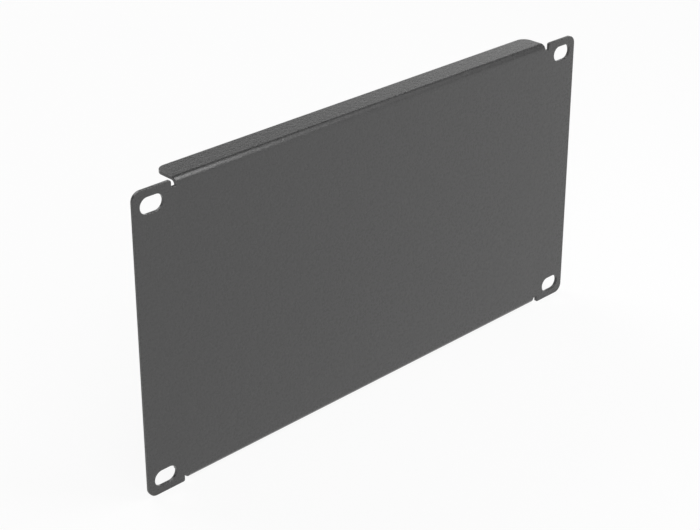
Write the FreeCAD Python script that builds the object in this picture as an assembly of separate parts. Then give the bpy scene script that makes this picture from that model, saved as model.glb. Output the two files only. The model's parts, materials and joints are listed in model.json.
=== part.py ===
import FreeCAD, Part
import math
import os

# Rack blanking panel: one folded steel sheet that closes three empty units of a ten inch rack.
# Frame: X along the width, Y towards the back of the rack, Z up. The origin is the centre of
# the four slots on the rear face of the ears, the face that seats on the rack's uprights.

# Sheet
sheet = 1.5
bend_inner_radius = 1.5

# Face
panel_width = 254.0
panel_height = 132.6

# Ears, the flat strips at both ends that carry the slots
ear_width = 18.1
ear_outer_radius = 4.0
ear_inner_radius = 0.8

# Relief cut between each ear and the end of a fold
relief_width = 2.3
relief_depth = 3.0

# Folds along the top and bottom edges, their depth measured over the outside
fold_depth = 13.5
fold_corner_radius = 4.5

# Mounting slots, each placed by its centre from the two nearest edges of the panel
slot_length = 11.0
slot_height = 7.0
slot_from_end = 8.75
slot_from_edge = 6.8

# Worked out from the sizes above
front = -sheet
rear = 0.0
half_width = panel_width / 2
half_height = panel_height / 2
ear_inner = half_width - ear_width
half_fold = ear_inner - relief_width
fold_length = 2 * half_fold
fold_back = front + fold_depth
bend_outer_radius = bend_inner_radius + sheet
bend_line = half_height - bend_outer_radius
bend_centre = front + bend_outer_radius
slot_x = half_width - slot_from_end
slot_z = half_height - slot_from_edge
near = 0.01


def point(x, y, z):
    return FreeCAD.Vector(x, y, z)


def line(start, end):
    return Part.LineSegment(start, end).toShape()


def mirrored(shape, normal):
    return shape.mirror(point(0, 0, 0), normal)


def corner_edges(solid, x, y, z):
    """The straight edges whose middle lies at +-x, y and +-z."""
    found = []
    for edge in solid.Edges:
        middle = edge.BoundBox.Center
        if abs(abs(middle.x) - x) < near and abs(middle.y - y) < near and abs(abs(middle.z) - z) < near:
            found.append(edge)
    return found


def make_face():
    """The flat face and its ears: a plate, cut back to the bend lines and relieved beside them."""
    middle = (front + rear) / 2
    up = point(0, 0, 1)
    face = Part.makeBox(panel_width, sheet, panel_height, point(-half_width, front, -half_height))
    bend_zone = Part.makeBox(fold_length, sheet, bend_outer_radius, point(-half_fold, front, bend_line))
    relief_floor = half_height - relief_depth
    right_relief = Part.makeBox(relief_width, sheet, relief_depth, point(half_fold, front, relief_floor))
    left_relief = mirrored(right_relief, point(1, 0, 0))
    for cut in (bend_zone, left_relief, right_relief):
        face = face.cut(cut).cut(mirrored(cut, up))
    face = face.makeFillet(ear_outer_radius, corner_edges(face, half_width, middle, half_height))
    return face.makeFillet(ear_inner_radius, corner_edges(face, ear_inner, middle, half_height))


def bend_arc(radius):
    """A quarter turn of the top bend, from the bend line round to the fold."""
    lean = radius * math.sin(math.pi / 4)
    start = point(-half_fold, bend_centre - radius, bend_line)
    middle = point(-half_fold, bend_centre - lean, bend_line + lean)
    end = point(-half_fold, bend_centre, bend_line + radius)
    return Part.Arc(start, middle, end).toShape()


def make_fold():
    """The top bend and the strip behind it: the section of the sheet, drawn along the fold."""
    under = half_height - sheet
    back_top = point(-half_fold, fold_back, half_height)
    back_under = point(-half_fold, fold_back, under)
    section = Part.Wire([
        bend_arc(bend_outer_radius),
        line(point(-half_fold, bend_centre, half_height), back_top),
        line(back_top, back_under),
        line(back_under, point(-half_fold, bend_centre, under)),
        bend_arc(bend_inner_radius),
        line(point(-half_fold, rear, bend_line), point(-half_fold, front, bend_line)),
    ])
    fold = Part.Face(section).extrude(point(fold_length, 0, 0))
    back_corners = corner_edges(fold, half_fold, fold_back, half_height - sheet / 2)
    return fold.makeFillet(fold_corner_radius, back_corners)


def make_slot(x, z):
    """One mounting slot as a solid that runs past both faces of the sheet."""
    radius = slot_height / 2
    reach = slot_length / 2 - radius
    start = front - sheet
    right_low = point(x + reach, start, z - radius)
    right_top = point(x + reach, start, z + radius)
    left_top = point(x - reach, start, z + radius)
    left_low = point(x - reach, start, z - radius)
    outline = Part.Wire([
        Part.Arc(right_low, point(x + slot_length / 2, start, z), right_top).toShape(),
        line(right_top, left_top),
        Part.Arc(left_top, point(x - slot_length / 2, start, z), left_low).toShape(),
        line(left_low, right_low),
    ])
    return Part.Face(outline).extrude(point(0, 3 * sheet, 0))


def make_panel():
    top_fold = make_fold()
    bottom_fold = mirrored(top_fold, point(0, 0, 1))
    panel = make_face().fuse([top_fold, bottom_fold]).removeSplitter()
    for x in (-slot_x, slot_x):
        for z in (-slot_z, slot_z):
            panel = panel.cut(make_slot(x, z))
    return panel


os.makedirs("parts", exist_ok=True)
make_panel().exportStep("parts/blanking_panel.step")
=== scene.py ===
import json
import math

import bmesh
import bpy
from mathutils import Matrix, Vector


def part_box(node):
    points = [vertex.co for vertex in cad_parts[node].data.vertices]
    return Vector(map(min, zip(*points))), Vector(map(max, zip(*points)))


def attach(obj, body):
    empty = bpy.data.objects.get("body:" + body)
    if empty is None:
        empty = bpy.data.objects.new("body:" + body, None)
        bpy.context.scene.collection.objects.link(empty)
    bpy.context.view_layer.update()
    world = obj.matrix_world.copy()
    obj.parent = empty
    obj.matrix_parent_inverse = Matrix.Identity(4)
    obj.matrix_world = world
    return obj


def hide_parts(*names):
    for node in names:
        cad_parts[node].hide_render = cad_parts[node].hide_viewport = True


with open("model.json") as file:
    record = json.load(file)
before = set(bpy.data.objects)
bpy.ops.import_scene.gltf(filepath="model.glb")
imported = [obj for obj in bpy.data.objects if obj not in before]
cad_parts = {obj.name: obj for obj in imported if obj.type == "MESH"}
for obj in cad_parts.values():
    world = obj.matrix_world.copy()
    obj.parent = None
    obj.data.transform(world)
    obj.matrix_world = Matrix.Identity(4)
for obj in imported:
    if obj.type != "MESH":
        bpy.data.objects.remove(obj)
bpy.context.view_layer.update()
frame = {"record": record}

MM = 0.001
quarter = math.pi / 2

# Sizes that the frame gives
low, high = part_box("blanking_panel")
half_width = high.x
half_height = high.z
front = low.y
fold_back = high.y
sheet = -front
slots = next(mount for mount in frame["record"]["mounts"] if mount["name"] == "rack_slots")
slot_x = slots["dims"]["spacing_x_mm"] * MM / 2
slot_z = slots["dims"]["spacing_y_mm"] * MM / 2
slot_radius = slots["dims"]["hole_r_mm"] * MM
slot_length = slots["dims"]["slot_length_mm"] * MM

# Sizes of the folded sheet
ear_width = 18.1 * MM
ear_outer_radius = 4.0 * MM
ear_inner_radius = 0.8 * MM
relief_width = 2.3 * MM
relief_depth = 3.0 * MM
relief_corner_radius = 0.3 * MM
bend_inner_radius = 1.5 * MM
fold_corner_radius = 4.5 * MM
edge_radius = 0.2 * MM

# Steps in a quarter turn
bend_steps = 12
corner_steps = 10
small_corner_steps = 4
edge_steps = 4

# The least share of an edge's way out that a sharp corner keeps
least_mitre = 0.5

# Worked out from the sizes above
ear_inner = half_width - ear_width
half_fold = ear_inner - relief_width
relief_middle = (ear_inner + half_fold) / 2
relief_floor = half_height - relief_depth
bend_outer_radius = bend_inner_radius + sheet
bend_line = half_height - bend_outer_radius
bend_centre = front + bend_outer_radius
bend_run = bend_outer_radius * quarter
blank_half_height = bend_line + bend_run + fold_back - bend_centre

# Powder coat: its noise scales in cells per metre, and the heights of its peel and grain
coat_dark = 0.0425
coat_light = 0.0440
coat_ior = 1.5
tint_scale = 450
tint_detail = 3
gloss_scale = 900
gloss_detail = 2
roughness_least = 0.26
roughness_most = 0.30
peel_scale = 900
peel_detail = 1
peel_height = 0.06 * MM
grain_scale = 2600
grain_detail = 2
grain_height = 0.028 * MM

# Noise values between which a ramp runs
noise_low = 0.3
noise_high = 0.7

# Floor
floor_size = 4.0
floor_gap = 0.1 * MM
floor_colour = 0.86
floor_roughness = 0.9
floor_glow_share = 0.9

# World: the backdrop is white up to the first height of a ray's direction and gone at the second
room_strength = 0.1
backdrop_white_to = 0.20
backdrop_gone_at = 0.36

# Camera, with its lens in pixels of the picture
image_width = 700
image_height = 530
focal_pixels = 1664.0
axis_row = 167.3
sensor_width = 36
camera_place = (-0.4517, -0.4518, 0.3186)
camera_azimuth = math.radians(44.0)
camera_down = math.radians(23.73)


def folded(x, s, depth):
    """Where a point of the flat blank goes when the sheet is folded.

    x and s are its place on the blank, across and up, and depth is how far it lies behind the front.
    Returns the point, the front's normal there and the direction in which s grows."""
    side = math.copysign(1, s)
    run = abs(s) - bend_line
    if run <= 0 or abs(x) > relief_middle:
        turn = 0
        point = (x, front + depth, s)
    elif run < bend_run:
        turn = run / bend_outer_radius
        reach = bend_outer_radius - depth
        point = (x, bend_centre - reach * math.cos(turn), side * (bend_line + reach * math.sin(turn)))
    else:
        turn = quarter
        point = (x, bend_centre + run - bend_run, side * (half_height - depth))
    normal = Vector((0, -math.cos(turn), side * math.sin(turn)))
    along = Vector((0, side * math.sin(turn), math.cos(turn)))
    return Vector(point), normal, along


def arc(centre_x, centre_s, radius, start, turn, steps):
    """Points round an arc of the blank's outline, from the angle start through turn."""
    points = []
    for step in range(steps + 1):
        angle = start + turn * step / steps
        points.append((centre_x + radius * math.cos(angle), centre_s + radius * math.sin(angle)))
    return points


def ear_corners():
    """The blank's outline round the upper right ear, from its end to the relief."""
    points = arc(half_width - ear_outer_radius, half_height - ear_outer_radius, ear_outer_radius,
                 0, quarter, corner_steps)
    points += arc(ear_inner + ear_inner_radius, half_height - ear_inner_radius, ear_inner_radius,
                  quarter, quarter, small_corner_steps)
    return points


def relief_corners():
    """The blank's outline along the floor of the upper right relief, from the ear to the fold."""
    middle = relief_floor + relief_corner_radius
    points = arc(ear_inner - relief_corner_radius, middle, relief_corner_radius,
                 0, -quarter, small_corner_steps)
    points += arc(half_fold + relief_corner_radius, middle, relief_corner_radius,
                  -quarter, -quarter, small_corner_steps)
    return points


def fold_end(start_level):
    """The blank's outline up the right end of the top fold, above start_level, and round its corner."""
    points = []
    for step in range(1, bend_steps + 1):
        level = bend_line + bend_run * step / bend_steps
        if level > start_level:
            points.append((half_fold, level))
    points += arc(half_fold - fold_corner_radius, blank_half_height - fold_corner_radius,
                  fold_corner_radius, 0, quarter, corner_steps)
    return points


def outline_quarter():
    """The outline of the blank's upper right quarter, from the ear round to the fold's back edge.

    Also returns where in that list the fold starts."""
    points = ear_corners() + relief_corners()
    fold_start = len(points) - 1
    return points + fold_end(points[-1][1]), fold_start


def slot_outline(centre_x, centre_s):
    """The outline of one slot. As on the outer outline, the sheet is to the left of its direction."""
    reach = slot_length / 2 - slot_radius
    points = arc(centre_x - reach, centre_s, slot_radius, -quarter, -2 * quarter, 2 * corner_steps)
    points += arc(centre_x + reach, centre_s, slot_radius, quarter, -2 * quarter, 2 * corner_steps)
    return points


def outward(points):
    """For each point of a closed outline, the unit way out of the sheet and its mitre factor."""
    ways = []
    for index, point in enumerate(points):
        here = Vector(point)
        before = (here - Vector(points[index - 1])).normalized()
        after = (Vector(points[(index + 1) % len(points)]) - here).normalized()
        way = Vector((before.y + after.y, -before.x - after.x)).normalized()
        ways.append((way, 1 / max(way.dot(Vector((after.y, -after.x))), least_mitre)))
    return ways


def edge_profile():
    """The sheet's rounded edge from its front to its rear: how far in, how deep, and its normal's angle."""
    profile = []
    for step in range(edge_steps + 1):
        angle = quarter * step / edge_steps
        inset = edge_radius * (1 - math.sin(angle))
        depth = edge_radius * (1 - math.cos(angle))
        profile.append((inset, depth, angle))
    rear = [(inset, sheet - depth, math.pi - angle) for inset, depth, angle in reversed(profile)]
    return profile + rear


class SheetMesh:
    """The folded sheet as one closed mesh, built from the outlines of its flat blank."""

    def __init__(self):
        self.mesh = bmesh.new()
        self.normals = []

    def vertex(self, x, s, depth, way, angle):
        point, normal, along = folded(x, s, depth)
        side = Vector((1, 0, 0)) * way.x + along * way.y
        self.normals.append((normal * math.cos(angle) + side * math.sin(angle)).normalized())
        return self.mesh.verts.new(point)

    def rim(self, points):
        """The rounded edge along one closed outline. Returns its front and its rear row of vertices."""
        ways = outward(points)
        rows = []
        for inset, depth, angle in edge_profile():
            row = []
            for (x, s), (way, mitre) in zip(points, ways):
                step = way * (inset * mitre)
                row.append(self.vertex(x - step.x, s - step.y, depth, way, angle))
            rows.append(row)
        for row, following in zip(rows, rows[1:]):
            for index in range(len(points)):
                ahead = (index + 1) % len(points)
                self.mesh.faces.new((row[index], following[index], following[ahead], row[ahead]))
        return rows[0], rows[-1]

    def fill(self, loops, facing):
        """The flat area between the first loop and the slots' loops inside it."""
        edges = set()
        for loop in loops:
            for index, vertex in enumerate(loop):
                pair = (loop[index - 1], vertex)
                edges.add(self.mesh.edges.get(pair) or self.mesh.edges.new(pair))
        bmesh.ops.triangle_fill(self.mesh, use_beauty=True, edges=list(edges), normal=facing)

    def span(self, right, left, start, reverse):
        """One fold's strips between the sheet's right and left ends, from the index start on."""
        for index in range(start, len(right) - 1):
            corners = (right[index], right[index + 1], left[index + 1], left[index])
            self.mesh.faces.new(corners[::-1] if reverse else corners)

    def finished(self, name):
        """The mesh with smooth shading and the normals of its rounded edges."""
        bmesh.ops.recalc_face_normals(self.mesh, faces=self.mesh.faces)
        mesh = bpy.data.meshes.new(name)
        self.mesh.to_mesh(mesh)
        self.mesh.free()
        mesh.polygons.foreach_set("use_smooth", [True] * len(mesh.polygons))
        mesh.normals_split_custom_set_from_vertices(self.normals)
        return mesh


def make_sheet():
    """The panel: rims round the outline and the slots, then flat areas and folds, front and rear."""
    sheet_mesh = SheetMesh()
    right_top, fold_start = outline_quarter()
    left_top = [(-x, s) for x, s in reversed(right_top)]
    left_low = [(-x, -s) for x, s in right_top]
    right_low = [(x, -s) for x, s in reversed(right_top)]
    count = len(right_top)
    outer_rows = sheet_mesh.rim(right_top + left_top + left_low + right_low)
    slot_rows = [sheet_mesh.rim(slot_outline(x, s)) for x in (-slot_x, slot_x) for s in (-slot_z, slot_z)]
    for side, row in enumerate(outer_rows):
        right_top_row = row[:count]
        left_top_row = row[count:2 * count][::-1]
        left_low_row = row[2 * count:3 * count]
        right_low_row = row[3 * count:][::-1]
        flat = right_top_row[:fold_start + 1] + left_top_row[:fold_start + 1][::-1]
        flat += left_low_row[:fold_start + 1] + right_low_row[:fold_start + 1][::-1]
        facing = (0, -1, 0) if side == 0 else (0, 1, 0)
        sheet_mesh.fill([flat] + [rows[side] for rows in slot_rows], facing)
        sheet_mesh.span(right_top_row, left_top_row, fold_start, side == 1)
        sheet_mesh.span(left_low_row, right_low_row, fold_start, side == 1)
    piece = bpy.data.objects.new("panel_sheet", sheet_mesh.finished("panel_sheet"))
    bpy.context.scene.collection.objects.link(piece)
    return piece


def grey(value):
    return (value, value, value, 1)


def noise(tree, place, scale, detail):
    node = tree.nodes.new("ShaderNodeTexNoise")
    node.inputs["Scale"].default_value = scale
    node.inputs["Detail"].default_value = detail
    tree.links.new(place, node.inputs["Vector"])
    return node.outputs["Fac"]


def ramp(tree, value, from_low, from_high, to_low, to_high):
    """A value carried from one range to another and held at its ends."""
    node = tree.nodes.new("ShaderNodeMapRange")
    node.inputs["From Min"].default_value = from_low
    node.inputs["From Max"].default_value = from_high
    node.inputs["To Min"].default_value = to_low
    node.inputs["To Max"].default_value = to_high
    tree.links.new(value, node.inputs["Value"])
    return node.outputs["Result"]


def bump(tree, height, distance):
    node = tree.nodes.new("ShaderNodeBump")
    node.inputs["Strength"].default_value = 1.0
    node.inputs["Distance"].default_value = distance
    tree.links.new(height, node.inputs["Height"])
    return node


def mixed(tree, share, first, second):
    """A mix of two shaders, with the share that the second has."""
    node = tree.nodes.new("ShaderNodeMixShader")
    tree.links.new(share, node.inputs[0])
    tree.links.new(first, node.inputs[1])
    tree.links.new(second, node.inputs[2])
    return node.outputs["Shader"]


def math_node(tree, operation, first):
    """A Math node with its first input linked. The caller sets or links the second."""
    node = tree.nodes.new("ShaderNodeMath")
    node.operation = operation
    tree.links.new(first, node.inputs[0])
    return node


def powder_coat():
    """Dark grey powder coat: a satin film with a fine peel that shows where light glances off it."""
    material = bpy.data.materials.new("powder_coat")
    material.use_nodes = True
    tree = material.node_tree
    shader = tree.nodes["Principled BSDF"]
    shader.inputs["IOR"].default_value = coat_ior
    place = tree.nodes.new("ShaderNodeTexCoord").outputs["Object"]
    colour = tree.nodes.new("ShaderNodeMix")
    colour.data_type = "RGBA"
    colour.inputs["A"].default_value = grey(coat_dark)
    colour.inputs["B"].default_value = grey(coat_light)
    tint = ramp(tree, noise(tree, place, tint_scale, tint_detail), noise_low, noise_high, 0, 1)
    tree.links.new(tint, colour.inputs["Factor"])
    tree.links.new(colour.outputs["Result"], shader.inputs["Base Color"])
    gloss = noise(tree, place, gloss_scale, gloss_detail)
    roughness = ramp(tree, gloss, noise_low, noise_high, roughness_least, roughness_most)
    tree.links.new(roughness, shader.inputs["Roughness"])
    peel = bump(tree, noise(tree, place, peel_scale, peel_detail), peel_height)
    grain = bump(tree, noise(tree, place, grain_scale, grain_detail), grain_height)
    tree.links.new(peel.outputs["Normal"], grain.inputs["Normal"])
    tree.links.new(grain.outputs["Normal"], shader.inputs["Normal"])
    return material


def seen_rays(tree):
    """One for a ray from the camera, a reflection or a refraction, and zero for the rest."""
    path = tree.nodes.new("ShaderNodeLightPath")
    seen = path.outputs["Is Camera Ray"]
    for kind in ("Is Glossy Ray", "Is Transmission Ray"):
        either = math_node(tree, "MAXIMUM", seen)
        tree.links.new(path.outputs[kind], either.inputs[1])
        seen = either.outputs["Value"]
    return seen


def floor_material():
    """A white floor that the camera and reflections see nearly white, with the object's shadow kept."""
    material = bpy.data.materials.new("floor")
    material.use_nodes = True
    tree = material.node_tree
    shader = tree.nodes["Principled BSDF"]
    shader.inputs["Base Color"].default_value = grey(floor_colour)
    shader.inputs["Roughness"].default_value = floor_roughness
    glow = tree.nodes.new("ShaderNodeEmission")
    share = math_node(tree, "MULTIPLY", seen_rays(tree))
    share.inputs[1].default_value = floor_glow_share
    surface = mixed(tree, share.outputs["Value"], shader.outputs["BSDF"], glow.outputs["Emission"])
    tree.links.new(surface, tree.nodes["Material Output"].inputs["Surface"])
    return material


def make_floor():
    bpy.ops.mesh.primitive_plane_add(size=floor_size, location=(0, 0, -half_height - floor_gap))
    floor = bpy.context.object
    floor.name = "floor"
    floor.data.materials.append(floor_material())


def make_world():
    """A dim room with a white backdrop all round, which the camera and reflections see."""
    world = bpy.data.worlds.new("studio")
    bpy.context.scene.world = world
    world.use_nodes = True
    tree = world.node_tree
    room = tree.nodes["Background"]
    room.inputs["Color"].default_value = grey(1)
    room.inputs["Strength"].default_value = room_strength
    white = tree.nodes.new("ShaderNodeBackground")
    white.inputs["Color"].default_value = grey(1)
    place = tree.nodes.new("ShaderNodeTexCoord")
    split = tree.nodes.new("ShaderNodeSeparateXYZ")
    tree.links.new(place.outputs["Generated"], split.inputs["Vector"])
    backdrop = ramp(tree, split.outputs["Z"], backdrop_white_to, backdrop_gone_at, 1, 0)
    share = math_node(tree, "MULTIPLY", seen_rays(tree))
    tree.links.new(backdrop, share.inputs[1])
    surface = mixed(tree, share.outputs["Value"], room.outputs["Background"], white.outputs["Background"])
    tree.links.new(surface, tree.nodes["World Output"].inputs["Surface"])


def soft_light(name, way, across, distance, width, height, radiance):
    """A rectangular soft light that faces the panel from the direction way, its width along across."""
    back = Vector(way).normalized()
    up = back.cross(Vector(across)).normalized()
    turned = Matrix((up.cross(back), up, back)).transposed().to_4x4()
    turned.translation = back * distance
    light = bpy.data.lights.new(name, "AREA")
    light.shape = "RECTANGLE"
    light.size = width
    light.size_y = height
    light.energy = radiance * math.pi * width * height
    lamp = bpy.data.objects.new(name, light)
    lamp.matrix_world = turned
    lamp.visible_camera = False
    bpy.context.scene.collection.objects.link(lamp)


def make_lights():
    """Large lights before and behind the panel, two over its bend and a low one beyond its right end."""
    soft_light("key", way=(-0.35, -0.85, 0.40), across=(1, 0, 0),
               distance=2.4, width=2.3, height=2.3, radiance=2.45)
    soft_light("rear", way=(0.0, 0.85, 0.50), across=(1, 0, 0),
               distance=2.4, width=2.1, height=2.1, radiance=2.8)
    soft_light("bend_light", way=(0.27, -0.33, 0.86), across=(1, 0, 0),
               distance=0.6, width=0.12, height=0.44, radiance=10.1)
    soft_light("bend_fill", way=(0.60, -0.34, 0.72), across=(1, 0, 0),
               distance=1.0, width=0.35, height=1.4, radiance=0.94)
    soft_light("backdrop_light", way=(0.88, 0.48, 0.17), across=(0.48, -0.88, 0),
               distance=1.6, width=1.8, height=0.80, radiance=0.64)


def make_camera():
    """The photograph's view: a long lens, a little above the panel and to its left."""
    camera = bpy.data.cameras.new("camera")
    camera.sensor_width = sensor_width
    camera.lens = sensor_width * focal_pixels / image_width
    camera.shift_y = (axis_row - image_height / 2) / image_width
    holder = bpy.data.objects.new("camera", camera)
    holder.location = camera_place
    holder.rotation_euler = (quarter - camera_down, 0, -camera_azimuth)
    bpy.context.scene.collection.objects.link(holder)
    bpy.context.scene.camera = holder


panel = make_sheet()
panel.data.materials.append(powder_coat())
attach(panel, "root")
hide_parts("blanking_panel")

make_floor()
make_world()
make_lights()
make_camera()
bpy.context.scene.view_settings.view_transform = "Standard"
